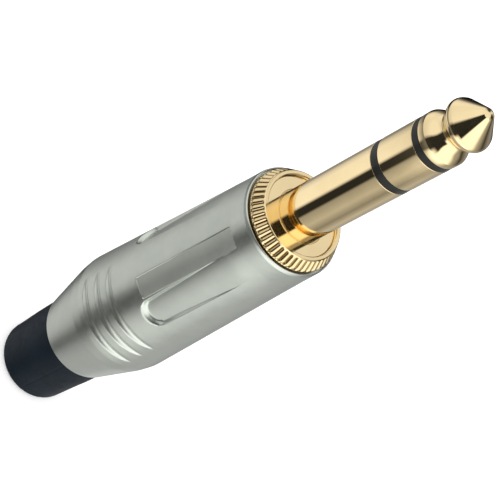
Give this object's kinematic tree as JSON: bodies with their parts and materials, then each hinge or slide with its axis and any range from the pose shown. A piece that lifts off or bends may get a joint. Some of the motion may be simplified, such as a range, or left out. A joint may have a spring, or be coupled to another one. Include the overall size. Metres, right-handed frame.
{
  "type": "stereo jack plug",
  "caption": "Slim round audio plug: polished contact finger with insulating rings, toothed front ring, tapered satin shell with grip relief and a soft rear boot.",
  "frame": {"origin": "on the plug's axis, at the flat rear end of the boot that it stands on", "axes": "+Z along the plug's axis from the boot to the contact tip; -Y is the side with the plain label panel"},
  "size_m": [0.0154, 0.0154, 0.0876],
  "materials": {
    "satin_nickel": "satin nickel plating on die-cast metal, fine blasted grain",
    "contact_gold": "polished gold plating on turned brass",
    "ring_gold": "polished gold plating on turned brass, toothed edge",
    "insulator_black": "black moulded plastic, half gloss",
    "boot_rubber": "black soft plastic with a bluish sheen",
    "chuck_plastic": "natural moulded plastic",
    "liner_plastic": "black moulded plastic",
    "tube_plastic": "natural extruded plastic",
    "washer_fibre": "brown pressed fibre",
    "tinned_brass": "tin plating on stamped brass"
  },
  "bodies": {
    "shell_body": {"shell": "satin_nickel", "boot": "boot_rubber", "cable_chuck": "chuck_plastic"},
    "liner_body": {"insulating_liner": "liner_plastic"},
    "contact_body": {"front_ring": "ring_gold", "sleeve_contact": "contact_gold", "rear_insulator": "insulator_black", "outer_tube": "tube_plastic", "ring_contact": "contact_gold", "front_insulator": "insulator_black", "inner_tube": "tube_plastic", "tip_contact": "contact_gold", "sleeve_terminal": "tinned_brass", "sleeve_washer": "washer_fibre", "ring_terminal": "tinned_brass", "ring_washer": "washer_fibre", "tip_terminal": "tinned_brass", "rivet_washer": "tinned_brass"}
  },
  "joints": [
    {"name": "unscrew", "type": "hinge", "parent": "shell_body", "child": "liner_body", "pos_m": [0, 0, 0.04], "axis": [0, 0, 1], "range_deg": [0, 1800]},
    {"name": "advance", "type": "slide", "parent": "liner_body", "child": "contact_body", "axis": [0, 0, 1], "range_m": [0, 0.005]}
  ],
  "couplings": [
    {"joint": "advance", "follows": "unscrew", "m_per_rad": 0.00015915}
  ]
}
